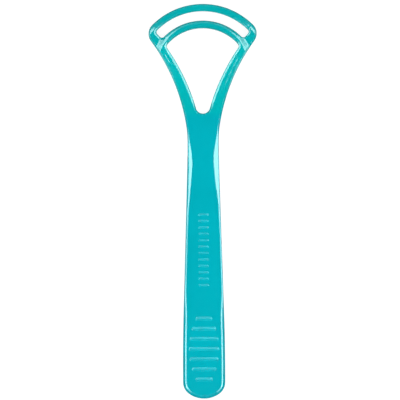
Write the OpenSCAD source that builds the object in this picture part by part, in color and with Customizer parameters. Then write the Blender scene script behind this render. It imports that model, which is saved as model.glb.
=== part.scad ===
// Tongue scraper with two concentric bows, moulded in one piece.
// It lies face up: +X to its right, +Y from the grip's end towards the bows, +Z out of its face.
// Lengths along the handle, named ..._y in the functions, are counted from the grip's end.

/* [Overall] */
// Length from the grip's end to the top of the outer bow
total_length = 160; // [145:1:180]
// Thickness of the grip and neck
grip_thickness = 4.4; // [4:0.1:6]

/* [Grip] */
// Width of the grip at its widest
grip_width = 17.1; // [15:0.1:19]
// Distance from the grip's end to where its taper starts
taper_start = 23.25; // [18:0.25:34]
// Radius of the grip's flat end arc
end_radius = 10.5; // [9.6:0.1:14]
// Radius of the two corners at the grip's end
end_corner_radius = 5.7; // [3:0.1:7]
// Length of the grip, up to where the neck starts
grip_length = 78; // [72:1:82]
// Rounding of the grip's face edges
grip_edge_radius = 1.25; // [0.5:0.05:1.6]

/* [Neck and fork] */
// Width of the neck at its waist
neck_width = 12.6; // [12.1:0.1:13.6]
// Rounding of the neck's face edges at the waist
neck_edge_radius = 2.2; // [1:0.05:2.6]
// Distance from the bows' centre back to the waist
waist_drop = 32.7; // [31:0.1:34]
// Width between the arms' outer edges, carried back to the waist
fork_root_width = 11.7; // [11:0.1:12]
// Radius of the arms' outer edges, seen from above
arm_sweep_radius = 79; // [74:1:84]
// Distance from the waist to where the crotch's rounding runs into the arms
crotch_rise = 19.3; // [18:0.1:21]
// Width of an arm across the scraper at the crotch
arm_root_width = 5.39; // [5.1:0.01:5.6]
// Width of an arm across the scraper at the shoulder
arm_tip_width = 4.55; // [4.1:0.05:4.9]
// Rounding of the arms' inner face edges
arm_inner_radius = 1.1; // [0.4:0.05:1.3]
// Rounding of the arms' outer face edges
arm_outer_radius = 0.3; // [0.15:0.05:0.5]
// Rounding of all edges on the back
back_edge_radius = 0.6; // [0.3:0.05:0.8]

/* [Head] */
// Radius of the outer bow's outer edge
head_radius = 28.9; // [28:0.1:29.8]
// Width of the outer bow
outer_bow_width = 2.95; // [2.5:0.05:3.4]
// Width of the slot between the bows
slot_width = 3.85; // [3.4:0.05:4.3]
// Width of the inner bow
inner_bow_width = 3.1; // [2.7:0.05:3.5]
// Angle from the middle of the bows to each of their ends
bow_half_angle = 44; // [42:0.5:45]
// Distance that the slot runs on past the bows' ends
slot_end_run = 1.6; // [1.3:0.1:2]
// Rounding of the slot's corners
slot_corner_radius = 1.2; // [0.8:0.1:1.3]
// Rounding of the shoulders' outline
shoulder_radius = 5; // [4:0.1:6]
// Rounding where the inner bow meets an arm
fork_corner_radius = 1.2; // [0.6:0.1:1.4]
// Distance from the inner bow's ends back to the arms' outer ends
arm_end_drop = 4.87; // [4.5:0.01:5.3]
// How much further up the arms' inner ends lie than their outer ends
arm_end_skew = 1.8; // [1.6:0.1:2]
// Distance across from the inner bow's ends out to the arms' outer ends
arm_end_reach = 4.33; // [4:0.01:4.8]
// Height of the face of the inner bow and the arms' ends
high_level = 5.8; // [5.2:0.1:6.6]
// Height of the face of the outer bow and the shoulders
low_level = 4.6; // [4:0.1:4.9]
// Height of the head's underside
underside = 1.6; // [1.2:0.1:2]
// Rise of the outer bow's domed face
dome_rise = 0.2; // [0.1:0.05:0.4]

/* [Ramp between the two levels] */
// Distance from the bows' centre up to the ramp's centre
ramp_offset = 3.2; // [2.8:0.1:3.6]
// Distance from the inner bow's outer edge in to the ramp's upper edge, on the middle line
ramp_margin = 0.5; // [0.3:0.1:0.9]
// Width of the ramp, seen from above
ramp_run = 2.15; // [1.8:0.05:2.6]

/* [Scraping lips] */
// Width of a lip where it joins its bow
lip_root_width = 1.9; // [1.4:0.1:2.4]
// Width of a lip's scraping edge
lip_edge_width = 0.7; // [0.5:0.1:1]

/* [Thumb ribs] */
// Number of ribs
rib_count = 7; // [5:1:8]
// Length of the longest rib
rib_length = 12.4; // [11:0.2:13]
// How much shorter the rib next to the longest is; further ones shorten with the square
rib_shortening = 0.6; // [0:0.05:0.7]
// Width of a rib
rib_width = 1.6; // [1.2:0.1:2]
// Height of a rib
rib_height = 0.35; // [0.2:0.05:0.5]
// Distance from one rib to the next
rib_pitch = 4.1; // [3.4:0.1:4.4]
// Distance from the grip's end to the middle rib
rib_middle = 20.2; // [19:0.1:22]

/* [Grip ticks] */
// Number of ticks
tick_count = 12; // [8:1:13]
// Length of a tick
tick_length = 4.2; // [3:0.1:5]
// Width of a tick
tick_width = 1; // [0.8:0.1:1.2]
// Height of a tick
tick_height = 0.25; // [0.15:0.05:0.35]
// Distance from one tick to the next
tick_pitch = 2.6; // [2:0.1:2.8]
// Distance from the grip's end to the first tick
tick_start = 46; // [44:0.5:48]

/* [Hidden] */
$fn = 96;

teal = [0.02, 0.7, 0.75];
teal_light = [0.12, 0.76, 0.79];

// How far cutting shapes run past what they cut
overrun = 1;
// Depth skimmed off the grip's back so that it is one plane
back_skim = 0.05;
// Steps of each rounded edge, of the crotch and of each plan arc
edge_steps = 4;
crotch_steps = 6;
arc_steps = 10;
// Rows along the grip's side, the neck and each arm
grip_rows = 12;
neck_rows = 24;
arm_rows = 20;
// How softly the taper starts, the waist begins and the fork spreads
taper_blend = 0.3;
waist_blend = 0.3;
// Distances from the waist over which the face edges' rounding grows and fades
rounding_lead = 14;
rounding_hold = 1.5;
rounding_fade = 11;
// Distances from the waist over which the face and the back leave the grip's planes
face_lift_start = 10;
back_lift_end = 33.6;
// How far short of the arms' ends the face is level again
face_lift_margin = 0.9;

// Bows, counted from the outside in
bow_centre_y = total_length - head_radius;
outer_bow_inside = head_radius - outer_bow_width;
inner_bow_outside = outer_bow_inside - slot_width;
inner_bow_inside = inner_bow_outside - inner_bow_width;
ramp_radius = inner_bow_outside - ramp_margin - ramp_offset;

// Stations along the handle
waist_y = bow_centre_y - waist_drop;
arm_outer_end_y = bow_centre_y + inner_bow_inside * cos(bow_half_angle) - arm_end_drop;
arm_inner_end_y = arm_outer_end_y + arm_end_skew;
// The arms' outer edges sweep from the waist out to their ends beside the inner bow
sweep_start = [fork_root_width / 2, waist_y];
sweep_end = [inner_bow_inside * sin(bow_half_angle) + arm_end_reach, arm_outer_end_y];
sweep_chord = sweep_end - sweep_start;
sweep_centre = (sweep_start + sweep_end) / 2 + [sweep_chord.y, -sweep_chord.x]
    * sqrt(pow(arm_sweep_radius / norm(sweep_chord), 2) - 1 / 4);

// Soft minimum and maximum of two lengths, blended over the length k
function soft_min(a, b, k) = min(a, b) - pow(max(k - abs(a - b), 0), 2) / k / 4;
function soft_max(a, b, k) = -soft_min(-a, -b, k);
// Smooth step from 0 to 1 as y goes from a to b
function smooth(y, a, b) =
    let (t = min(max((y - a) / (b - a), 0), 1))
    t * t * t * (10 - 15 * t + 6 * t * t);
function mix(a, b, t) = a + (b - a) * t;
function turned(v) = [for (i = [len(v) - 1:-1:0]) v[i]];

// Outer half width of the handle and the fork
function sweep_x(y) = sweep_centre.x - sqrt(pow(arm_sweep_radius, 2) - pow(y - sweep_centre.y, 2));
function taper_x(y) = mix(grip_width, neck_width, (y - taper_start) / (waist_y - taper_start)) / 2;
function handle_x(y) =
    soft_max(soft_min(grip_width / 2, taper_x(y), taper_blend), neck_width / 2, waist_blend);
function outer_x(y) = y < waist_y ? handle_x(y) : soft_max(neck_width / 2, sweep_x(y), waist_blend);

// Inner edge of the fork: a circle in the crotch that runs into the arms' inner edges
crotch_top_y = waist_y + crotch_rise;
arm_taper = (arm_root_width - arm_tip_width) / (arm_inner_end_y - crotch_top_y);
function arm_width(y) = arm_root_width - arm_taper * (y - crotch_top_y);
function inner_edge_x(y) = sweep_x(y) - arm_width(y);
function inner_slope(y) =
    (y - sweep_centre.y) / (sweep_centre.x - sweep_x(y)) + arm_taper;
crotch_top_x = inner_edge_x(crotch_top_y);
crotch_slope = inner_slope(crotch_top_y);
crotch_radius = crotch_top_x * sqrt(1 + crotch_slope * crotch_slope);
crotch_centre_y = crotch_top_y + crotch_slope * crotch_top_x;
crotch_y = crotch_centre_y - crotch_radius;

// Height of the face and of the back, and rounding of the outer face edges
function face_z(y) =
    mix(grip_thickness, high_level,
        smooth(y, waist_y + face_lift_start, arm_outer_end_y - face_lift_margin));
function back_z(y) = underside * smooth(y, waist_y, waist_y + back_lift_end);
function outer_radius(y) =
    y < waist_y
    ? mix(grip_edge_radius, neck_edge_radius,
          smooth(y, waist_y - rounding_lead, waist_y - rounding_hold))
    : mix(neck_edge_radius, arm_outer_radius,
          smooth(y, waist_y + rounding_hold, waist_y + rounding_fade));
function inner_radius(y) =
    mix(arm_outer_radius, arm_inner_radius,
        smooth(y, crotch_y + crotch_radius / 2, crotch_y + 2 * crotch_radius));

// One side of a cross-section, from the back up to the face. The point p lies on the outline,
// inward is the direction into the plastic, z the heights of back and face, r the rounding.
function section_side(p, inward, z, r) = concat(
    [for (i = [0:edge_steps])
        let (a = 90 * i / edge_steps, d = p + inward * back_edge_radius * (1 - sin(a)))
        [d.x, d.y, z[0] + back_edge_radius * (1 - cos(a))]],
    [for (i = [0:edge_steps])
        let (a = 90 * i / edge_steps, d = p + inward * r * (1 - cos(a)))
        [d.x, d.y, z[1] - r * (1 - sin(a))]]);
// A closed cross-section: its right side upwards, then its left side downwards
function section(right, left) = concat(right, turned(left));

// Solid through cross-sections that all have as many points
module loft(rings, closed_start = true) {
    n = len(rings[0]);
    last = len(rings) - 1;
    half = n / 2;
    points = [for (ring = rings) each ring];
    walls = [for (i = [0:last - 1], k = [0:n - 1])
        let (a = i * n + k, b = i * n + (k + 1) % n)
        each [[a, b, b + n], [a, b + n, a + n]]];
    starts = closed_start
        ? [for (k = [0:half - 2]) each [[k, n - 1 - k, n - 2 - k], [k, n - 2 - k, k + 1]]]
        : [];
    ends = [for (k = [0:half - 2])
        let (a = last * n + k, b = last * n + n - 1 - k)
        each [[a, a + 1, b - 1], [a, b - 1, b]]];
    polyhedron(points, concat(walls, starts, ends), convexity = 4);
}

// Puts the frame's origin under the middle of the scraper
module from_grip_end() {
    translate([0, -total_length / 2, 0]) children();
}

// A symmetric row of the handle through the outline's points at x and -x. Its back lies lower
// by skim, where a flat cut follows.
function handle_row(x, y, inward, skim = 0) =
    let (z = [back_z(y) - skim, face_z(y)], r = outer_radius(y))
    section(section_side([x, y], inward, z, r), section_side([-x, y], [-inward.x, inward.y], z, r));

// The corners' rounding runs into the end arc, or into a half circle where that is narrower
end_angle = asin(min((grip_width / 2 - end_corner_radius) / (end_radius - end_corner_radius), 1));
end_corner = [grip_width / 2 - end_corner_radius,
              end_radius - (end_radius - end_corner_radius) * cos(end_angle)];

function grip_sections() = concat(
    [for (i = [0:arc_steps - 1])
        let (a = end_angle * i / arc_steps)
        handle_row(end_radius * sin(a), end_radius * (1 - cos(a)), [-sin(a), cos(a)], back_skim)],
    [for (i = [0:arc_steps - 1])
        let (a = mix(end_angle, 90, i / arc_steps), p = [sin(a), -cos(a)] * end_corner_radius)
        handle_row(end_corner.x + p.x, end_corner.y + p.y, [-sin(a), cos(a)], back_skim)],
    [for (i = [0:grip_rows])
        let (y = mix(end_corner.y, grip_length, i / grip_rows))
        handle_row(handle_x(y), y, [-1, 0], back_skim)]);

module grip() {
    color(teal) from_grip_end() difference() {
        loft(grip_sections(), closed_start = false);
        translate([-grip_width / 2 - overrun, -overrun, -back_skim - overrun])
            cube([grip_width + 2 * overrun, grip_length + 2 * overrun, back_skim + overrun]);
    }
}

module neck() {
    color(teal) from_grip_end()
        loft([for (i = [0:neck_rows])
            let (y = mix(grip_length, crotch_y, i / neck_rows))
            handle_row(outer_x(y), y, [-1, 0])]);
}

// Height up an arm of each row, in fine steps round the crotch and then evenly
function arm_stations() = concat(
    [for (i = [0:crotch_steps])
        let (a = atan2(crotch_top_x, crotch_centre_y - crotch_top_y) * i / crotch_steps)
        crotch_centre_y - crotch_radius * cos(a)],
    [for (i = [1:arm_rows]) mix(crotch_top_y, arm_inner_end_y, i / arm_rows)]);
function inner_x(y) =
    y < crotch_top_y
    ? sqrt(max(pow(crotch_radius, 2) - pow(crotch_centre_y - y, 2), 0))
    : inner_edge_x(y);
// The outer end of each row falls back from its inner end more and more
function across_y(y) =
    mix(crotch_y, arm_outer_end_y, (y - crotch_y) / (arm_inner_end_y - crotch_y));
function arm_row(y) =
    let (out = [outer_x(across_y(y)), across_y(y)],
         inn = [inner_x(y), y],
         inward = (inn - out) / norm(inn - out),
         z = [back_z(across_y(y)), face_z(across_y(y))])
    section(section_side(out, inward, z, outer_radius(y)),
            section_side(inn, -inward, z, inner_radius(y)));

module right_arm() {
    color(teal_light) from_grip_end() loft([for (y = arm_stations()) arm_row(y)]);
}

module left_arm() {
    mirror([1, 0, 0]) right_arm();
}

// Point at an angle from the bows' middle line, clockwise, about the bows' centre
function on_bow(r, a) = [r * sin(a), bow_centre_y + r * cos(a)];
function heading(v) = atan2(v.x, v.y);

// Directions out along the bows' ends and across them, away from the middle line
bow_end_out = [sin(bow_half_angle), cos(bow_half_angle)];
bow_end_across = [cos(bow_half_angle), -sin(bow_half_angle)];

// The shoulder's rounding touches the outer bow's edge and the arm's outer edge. The largest that
// fits between them starts at the bow's end.
to_sweep = sweep_centre - [0, bow_centre_y];
shoulder_room = (pow(norm(to_sweep - head_radius * bow_end_out), 2) - pow(arm_sweep_radius, 2))
    / (arm_sweep_radius + head_radius - to_sweep * bow_end_out) / 2;
shoulder_rounding = min(shoulder_radius, shoulder_room);
rounding_from_bow = head_radius - shoulder_rounding;
rounding_from_sweep = arm_sweep_radius + shoulder_rounding;
rounding_turn = acos((pow(rounding_from_bow, 2) + pow(norm(to_sweep), 2)
                      - pow(rounding_from_sweep, 2)) / (2 * rounding_from_bow * norm(to_sweep)));
shoulder_centre = on_bow(rounding_from_bow, heading(to_sweep) - rounding_turn);
shoulder_start = heading(shoulder_centre - [0, bow_centre_y]);
shoulder_end = heading(sweep_centre - shoulder_centre);

// The rounding between the inner bow and the arm's inner edge. The largest that fits there
// starts at the bow's end.
arm_inner_end = [inner_edge_x(arm_inner_end_y), arm_inner_end_y];
arm_outer_end = [outer_x(arm_outer_end_y), arm_outer_end_y];
arm_heading = atan(inner_slope(arm_inner_end_y));
along_arm = [sin(arm_heading), cos(arm_heading)];
into_fork = [-cos(arm_heading), sin(arm_heading)];
fork_room = (inner_bow_inside * bow_end_out - arm_inner_end + [0, bow_centre_y]) * into_fork
    / (1 + bow_end_out * into_fork);
fork_rounding = min(fork_corner_radius, fork_room);
from_bow_centre = arm_inner_end + fork_rounding * into_fork - [0, bow_centre_y];
corner_from_bow = inner_bow_inside - fork_rounding;
corner_travel = -from_bow_centre * along_arm
    + sqrt(pow(from_bow_centre * along_arm, 2) - pow(norm(from_bow_centre), 2)
           + pow(corner_from_bow, 2));
fork_corner = [0, bow_centre_y] + from_bow_centre + corner_travel * along_arm;
fork_corner_heading = heading(fork_corner - [0, bow_centre_y]);

function arc(centre, r, a, b) = [for (i = [0:arc_steps])
    let (t = mix(a, b, i / arc_steps))
    centre + r * [sin(t), cos(t)]];

// Outline of the right shoulder, clockwise from the outer bow's outer edge
module shoulder_outline() {
    bow_centre = [0, bow_centre_y];
    slot_inset = bow_centre + (slot_end_run - slot_corner_radius) * bow_end_across;
    slot_in = slot_inset + (inner_bow_outside + slot_corner_radius) * bow_end_out;
    slot_out = slot_inset + (outer_bow_inside - slot_corner_radius) * bow_end_out;
    sweep_top = heading(shoulder_centre - sweep_centre);
    sweep_low = heading(arm_outer_end - sweep_centre);
    polygon(concat(
        arc(bow_centre, head_radius, bow_half_angle, shoulder_start),
        arc(shoulder_centre, shoulder_rounding, shoulder_start, shoulder_end),
        arc(sweep_centre, arm_sweep_radius, sweep_top, sweep_low),
        [arm_inner_end],
        arc(fork_corner, fork_rounding, arm_heading + 90, fork_corner_heading),
        arc(bow_centre, inner_bow_inside, fork_corner_heading, bow_half_angle),
        [bow_centre + inner_bow_outside * bow_end_out],
        arc(slot_in, slot_corner_radius, bow_half_angle + 180, bow_half_angle + 90),
        arc(slot_out, slot_corner_radius, bow_half_angle + 90, bow_half_angle),
        [bow_centre + outer_bow_inside * bow_end_out]));
}

// Everything under the ramp's cone, from the head's underside up to the high level
module under_ramp() {
    spread = ramp_run / (high_level - low_level);
    height = high_level - underside;
    translate([0, bow_centre_y + ramp_offset, underside])
        cylinder(r1 = ramp_radius + spread * height, r2 = ramp_radius, h = height);
}

module right_shoulder() {
    color(teal) from_grip_end() {
        translate([0, 0, underside]) linear_extrude(low_level - underside) shoulder_outline();
        intersection() {
            translate([0, 0, underside]) linear_extrude(high_level - underside) shoulder_outline();
            under_ramp();
        }
    }
}

module left_shoulder() {
    mirror([1, 0, 0]) right_shoulder();
}

// Turns a profile of radius and height about the bows' centre, from one shoulder to the other
module along_bow() {
    translate([0, bow_centre_y, 0]) rotate([0, 0, 90 - bow_half_angle])
        rotate_extrude(angle = 2 * bow_half_angle) children();
}

module outer_bow() {
    dome_x = outer_bow_width / 2;
    dome_top = low_level - underside;
    middle = outer_bow_inside + dome_x;
    color(teal) from_grip_end() along_bow() polygon(concat(
        [[outer_bow_inside, underside], [head_radius, underside]],
        [for (i = [0:arc_steps])
            let (t = 1 - 2 * i / arc_steps)
            [middle + t * dome_x, underside + dome_top - dome_rise * t * t]]));
}

module inner_bow() {
    color(teal_light) from_grip_end() intersection() {
        along_bow() translate([inner_bow_inside, underside])
            square([inner_bow_width, high_level - underside]);
        under_ramp();
    }
}

// Lip that tapers from the underside of a bow down to its scraping edge
module lip(middle) {
    along_bow() polygon([
        [middle - lip_root_width / 2, underside],
        [middle - lip_edge_width / 2, 0],
        [middle + lip_edge_width / 2, 0],
        [middle + lip_root_width / 2, underside]]);
}

module outer_lip() {
    color(teal) from_grip_end() lip(head_radius - outer_bow_width / 2);
}

module inner_lip() {
    color(teal) from_grip_end() lip(inner_bow_outside - inner_bow_width / 2);
}

// Low bar across the grip's face: the slice of a round-ended rod that rises above the face
module bar(length, width, height) {
    rod = (width * width / 4 + height * height) / (2 * height);
    straight = length - width;
    intersection() {
        translate([0, 0, height - rod]) rotate([0, 90, 0]) rotate_extrude() polygon(concat(
            [for (i = [0:arc_steps])
                let (a = 90 * i / arc_steps)
                [rod * sin(a), -straight / 2 - rod * cos(a)]],
            [for (i = [0:arc_steps])
                let (a = 90 * i / arc_steps)
                [rod * cos(a), straight / 2 + rod * sin(a)]]));
        translate([-length, -width, 0]) cube([2 * length, 2 * width, height + overrun]);
    }
}

module thumb_ribs() {
    middle = (rib_count - 1) / 2;
    color(teal_light) from_grip_end() for (i = [0:rib_count - 1])
        translate([0, rib_middle + (i - middle) * rib_pitch, grip_thickness])
            bar(rib_length - rib_shortening * pow(i - middle, 2), rib_width, rib_height);
}

module grip_ticks() {
    color(teal_light) from_grip_end() for (i = [0:tick_count - 1])
        translate([0, tick_start + i * tick_pitch, grip_thickness])
            bar(tick_length, tick_width, tick_height);
}

grip();
neck();
left_arm();
right_arm();
left_shoulder();
right_shoulder();
outer_bow();
inner_bow();
outer_lip();
inner_lip();
thumb_ribs();
grip_ticks();
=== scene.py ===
"""Tongue scraper: one glossy teal moulding with two concentric bows, dressed round its CAD frame.

Plan lengths are in millimetres until a mesh is made, and y counts from the grip's end there.
The moulding is one closed surface, worked out as a face and a back over one plan, and it is cut
into a piece for each CAD node along the nodes' borders.
"""

import math

import bmesh
import bpy
import numpy as np
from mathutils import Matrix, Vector
from mathutils.geometry import delaunay_2d_cdt


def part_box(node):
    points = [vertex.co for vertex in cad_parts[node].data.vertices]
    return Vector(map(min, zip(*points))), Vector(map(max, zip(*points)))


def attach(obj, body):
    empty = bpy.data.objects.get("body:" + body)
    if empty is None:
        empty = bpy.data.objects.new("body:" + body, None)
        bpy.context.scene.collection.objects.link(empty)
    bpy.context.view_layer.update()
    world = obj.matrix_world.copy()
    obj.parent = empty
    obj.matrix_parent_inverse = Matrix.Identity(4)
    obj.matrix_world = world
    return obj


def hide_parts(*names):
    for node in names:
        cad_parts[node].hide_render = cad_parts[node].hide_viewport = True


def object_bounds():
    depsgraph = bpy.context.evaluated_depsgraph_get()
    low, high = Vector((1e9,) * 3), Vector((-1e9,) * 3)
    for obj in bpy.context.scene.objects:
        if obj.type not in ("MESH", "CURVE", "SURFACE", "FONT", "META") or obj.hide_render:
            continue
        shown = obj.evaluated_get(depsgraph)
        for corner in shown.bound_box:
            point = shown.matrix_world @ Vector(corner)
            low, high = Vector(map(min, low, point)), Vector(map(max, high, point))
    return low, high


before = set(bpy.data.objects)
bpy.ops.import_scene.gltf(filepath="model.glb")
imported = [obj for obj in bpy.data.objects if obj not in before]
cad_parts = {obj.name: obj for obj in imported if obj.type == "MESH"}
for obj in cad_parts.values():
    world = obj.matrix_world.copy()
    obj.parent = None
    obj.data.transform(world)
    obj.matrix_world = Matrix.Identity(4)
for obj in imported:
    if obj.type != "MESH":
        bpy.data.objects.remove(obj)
cad_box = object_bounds()

MM = 0.001


def node_size(node, axis):
    low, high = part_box(node)
    return (high[axis] - low[axis]) / MM


def node_top(node):
    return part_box(node)[1].z / MM


# Sizes that the frame gives
TOTAL_LENGTH = (cad_box[1][1] - cad_box[0][1]) / MM
GRIP_LENGTH = node_size("grip", 1)
GRIP_WIDTH = node_size("grip", 0)
HANDLE_LEVEL = node_top("grip")
HIGH_LEVEL = node_top("inner_bow")
LOW_LEVEL = node_top("outer_bow")
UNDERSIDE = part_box("outer_bow")[0].z / MM

# Plan of the grip, neck and fork
TAPER_START = 23.25
END_RADIUS = 10.5
END_CORNER_RADIUS = 5.7
NECK_WIDTH = 12.6
FORK_ROOT_WIDTH = 11.7
WAIST_DROP = 32.7
CROTCH_RISE = 19.3
ARM_SWEEP_RADIUS = 79.0
ARM_ROOT_WIDTH = 5.39
ARM_TIP_WIDTH = 4.55
TAPER_BLEND = 0.3

# Plan of the head
HEAD_RADIUS = 28.9
OUTER_BOW_WIDTH = 2.95
SLOT_WIDTH = 3.85
INNER_BOW_WIDTH = 3.1
BOW_HALF_ANGLE = 44.0
ARM_END_DROP = 4.87
ARM_END_SKEW = 1.8
ARM_END_REACH = 4.33
SLOT_END_RUN = 1.6
SLOT_CORNER_RADIUS = 1.2
SHOULDER_RADIUS = 5.0
FORK_CORNER_RADIUS = 1.2

# Ramp from the high level down to the low one
RAMP_OFFSET = 3.2
RAMP_MARGIN = 0.5
RAMP_RUN = 2.15
RAMP_FILLET = 0.4

# Places that follow from these sizes
BOW_CENTRE_Y = TOTAL_LENGTH - HEAD_RADIUS
OUTER_BOW_INSIDE = HEAD_RADIUS - OUTER_BOW_WIDTH
INNER_BOW_OUTSIDE = OUTER_BOW_INSIDE - SLOT_WIDTH
INNER_BOW_INSIDE = INNER_BOW_OUTSIDE - INNER_BOW_WIDTH
RAMP_RADIUS = INNER_BOW_OUTSIDE - RAMP_MARGIN - RAMP_OFFSET
BOW_CENTRE = np.array([0.0, BOW_CENTRE_Y])
WAIST_Y = BOW_CENTRE_Y - WAIST_DROP
BOW_END = math.radians(BOW_HALF_ANGLE)
ARM_OUTER_END_Y = BOW_CENTRE_Y + INNER_BOW_INSIDE * math.cos(BOW_END) - ARM_END_DROP
ARM_INNER_END_Y = ARM_OUTER_END_Y + ARM_END_SKEW
CROTCH_TOP_Y = WAIST_Y + CROTCH_RISE
ARM_TAPER = (ARM_ROOT_WIDTH - ARM_TIP_WIDTH) / (ARM_INNER_END_Y - CROTCH_TOP_Y)

# Edges of the face, from the outline in: a tight corner, a steep rim, and a flank that rounds
# off into the face. A pair whose name ends in SIDES is for the right side and the left one
CORNER_RADIUS = 0.08
RIM_TILT = 41.0
RIM_WIDTH = 0.35
THIN_RIM_WIDTH = 0.2
THINNEST_RIM_WIDTH = 0.14
BARE_RIM_WIDTH = 0.6
END_RIM_WIDTH = 0.8
WAIST_RIM_GROWTH = 0.22
RIM_BLEND_SHARE = 0.3
RIM_BLEND_LIMIT = 0.1
FLANK_TILT = 20.0
MIDDLE_FLANK_TILT = 15.0
FLANK_ROUNDING_SHARE = 0.4
SHARP_FLANK = 0.06
END_FLANK = 0.8
MIDDLE_FLANK = 0.7
WAIST_FLANK_SIDES = (2.45, 1.8)
WAIST_KINK = 0.35
WAIST_KINK_REACH = 6.0
ARM_FLANK = 0.9
BOW_FLANK = 0.4
SLOT_END_FLANK = 0.75
RIGHT_SLOT_END_FLANK = 0.4
BACK_RADIUS = 0.6

# Where the edges change, counted in y from the grip's end
END_EDGE_FADE = (30.0, 46.0)
MIDDLE_TILT_FADE = (66.0, 84.0)
WAIST_RIM_RISE = (70.0, 84.0)

# Where the edges change, counted in y from the waist
WAIST_RIM_FADE = (-4.0, 1.0)
WAIST_FLANK_RISE = (-25.0, -3.0)
WAIST_KINK_PLACE = -2.0
WAIST_FLANK_END_SIDES = (15.0, 12.0)
BARE_RIM_START = 6.0

# Where the edges change, in radians past the bows' ends, and in millimetres out from the inner bow
FORK_FLANK_RISE = (0.04, 0.14)
SLOT_END_RISE = (-0.01, 0.05)
THINNEST_RIM_RISE = (-0.3, -0.12)
RIGHT_SLOT_END_RISE = (1.2, 2.6)

# Heights of the face and the back
ARM_LIFT_START = 25.0
ARM_LIFT_END = 46.0
BACK_LIFT_END = 33.6
ARM_CROWN = 0.18
ARM_CROWN_RISE = 6.0
ARM_CROWN_FADE = (-1.0, 3.0)
BOW_CROWN = 0.12
BOW_CROWN_FADE = 6.0

# Shallow ledge along each arm's face, its stretches counted in y from the arm's outer end
ARM_LEDGE_FALL = 0.24
ARM_LEDGE_MIDDLE = 0.15
ARM_LEDGE_SHARE = 0.55
ARM_LEDGE_START_SIDES = (-17.0, -5.0)
ARM_LEDGE_RISE_SIDES = (6.0, 2.0)
ARM_LEDGE_END_SIDES = (-3.0, -1.0)
ARM_LEDGE_FADE = 3.0

# Crease along the raised ends of the outer bow, its angles in degrees from +Y
CREASE_HEIGHT = 0.3
CREASE_RADIUS = 26.9
CREASE_WIDTH = 1.0
CREASE_FILLET = 0.2
CREASE_START_SIDES = (30.0, 33.0)
CREASE_RISE = 19.0
CREASE_FADE = (51.0, 58.0)

# Lips under the bows
LIP_ROOT_WIDTH = 1.9
LIP_EDGE_WIDTH = 0.7
LIP_EDGE_RADIUS = 0.25
LIP_ROOT_FILLET = 0.35
LIP_RUN_OUT = 0.14
LIP_END_HEIGHT_SHARE = 0.12

# Ribs and ticks on the grip's face
RIB_COUNT = 7
RIB_LENGTH = 12.4
RIB_SHORTENING = 0.6
RIB_PITCH = 4.1
RIB_MIDDLE = 20.2
RIB_WIDTH = 1.6
RIB_HEIGHT = 0.35
TICK_COUNT = 12
TICK_LENGTH = 4.2
TICK_PITCH = 2.6
TICK_START = 46.0
TICK_WIDTH = 1.0
TICK_HEIGHT = 0.25

# Spacing of the points on the outlines and inside them, which keep clear of each other by a share
# of their spacing
GRIP_STEP = 2.0
NECK_STEP = 1.0
ARM_STEP = 0.6
HEAD_STEP = 0.35
CLEAR_SHARE = 0.6
MERGE_DISTANCE = 1e-6
SLOPE_STEP = 0.01

# Counts of points, rings and steps
SLOT_END_POINTS = 4
CORNER_RINGS = 4
FLANK_RINGS = 5
BACK_RINGS = 5
LIP_STEPS = 88
LIP_ROUND_STEPS = 5
BAR_RINGS = 8
BAR_SIDES = 24


# Plain helpers

def mix(a, b, t):
    return a + (b - a) * t


def smooth(v, a, b):
    """Smooth step from 0 to 1 as v goes from a to b."""
    t = np.clip((v - a) / (b - a), 0, 1)
    return t * t * t * (10 - 15 * t + 6 * t * t)


def soft_min(a, b, k):
    return np.minimum(a, b) - np.maximum(k - abs(a - b), 0) ** 2 / k / 4


def soft_max(a, b, k):
    return -soft_min(-a, -b, k)


def stretch(v, growth, fade):
    """1 between two smooth steps: up over the range growth, and down over the range fade."""
    return smooth(v, *growth) * (1 - smooth(v, *fade))


def ramp(v, run, fillet):
    """From 0 to 1 as v goes from 0 to run: straight, with rounded ends."""
    return soft_max(soft_min(v, run, fillet), 0, fillet) / run


def by_side(x, values):
    """The right side's value or the left side's, out of a pair in that order."""
    return np.where(x > 0, *values)


def unit(v):
    return v / np.linalg.norm(v, axis=-1, keepdims=True)


def heading(v):
    """Angle from +Y, clockwise, in radians."""
    return np.arctan2(v[..., 0], v[..., 1])


def towards(a):
    return np.array([math.sin(a), math.cos(a)])


# Plan curves, as in the CAD

SWEEP_START = np.array([FORK_ROOT_WIDTH / 2, WAIST_Y])
SWEEP_END = np.array([INNER_BOW_INSIDE * math.sin(BOW_END) + ARM_END_REACH, ARM_OUTER_END_Y])
SWEEP_CHORD = SWEEP_END - SWEEP_START
SWEEP_CENTRE = (SWEEP_START + SWEEP_END) / 2 + np.array([SWEEP_CHORD[1], -SWEEP_CHORD[0]]) * (
    math.sqrt((ARM_SWEEP_RADIUS / np.linalg.norm(SWEEP_CHORD)) ** 2 - 1 / 4))


def sweep_x(y):
    return SWEEP_CENTRE[0] - np.sqrt(ARM_SWEEP_RADIUS ** 2 - (y - SWEEP_CENTRE[1]) ** 2)


def handle_x(y):
    taper = mix(GRIP_WIDTH, NECK_WIDTH, (y - TAPER_START) / (WAIST_Y - TAPER_START)) / 2
    return soft_max(soft_min(GRIP_WIDTH / 2, taper, TAPER_BLEND), NECK_WIDTH / 2, TAPER_BLEND)


def outer_x(y):
    fork = soft_max(NECK_WIDTH / 2, sweep_x(np.maximum(y, WAIST_Y)), TAPER_BLEND)
    return np.where(y < WAIST_Y, handle_x(y), fork)


def inner_edge_x(y):
    return sweep_x(y) - ARM_ROOT_WIDTH + ARM_TAPER * (y - CROTCH_TOP_Y)


def inner_slope(y):
    return (y - SWEEP_CENTRE[1]) / (SWEEP_CENTRE[0] - sweep_x(y)) + ARM_TAPER


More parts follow.
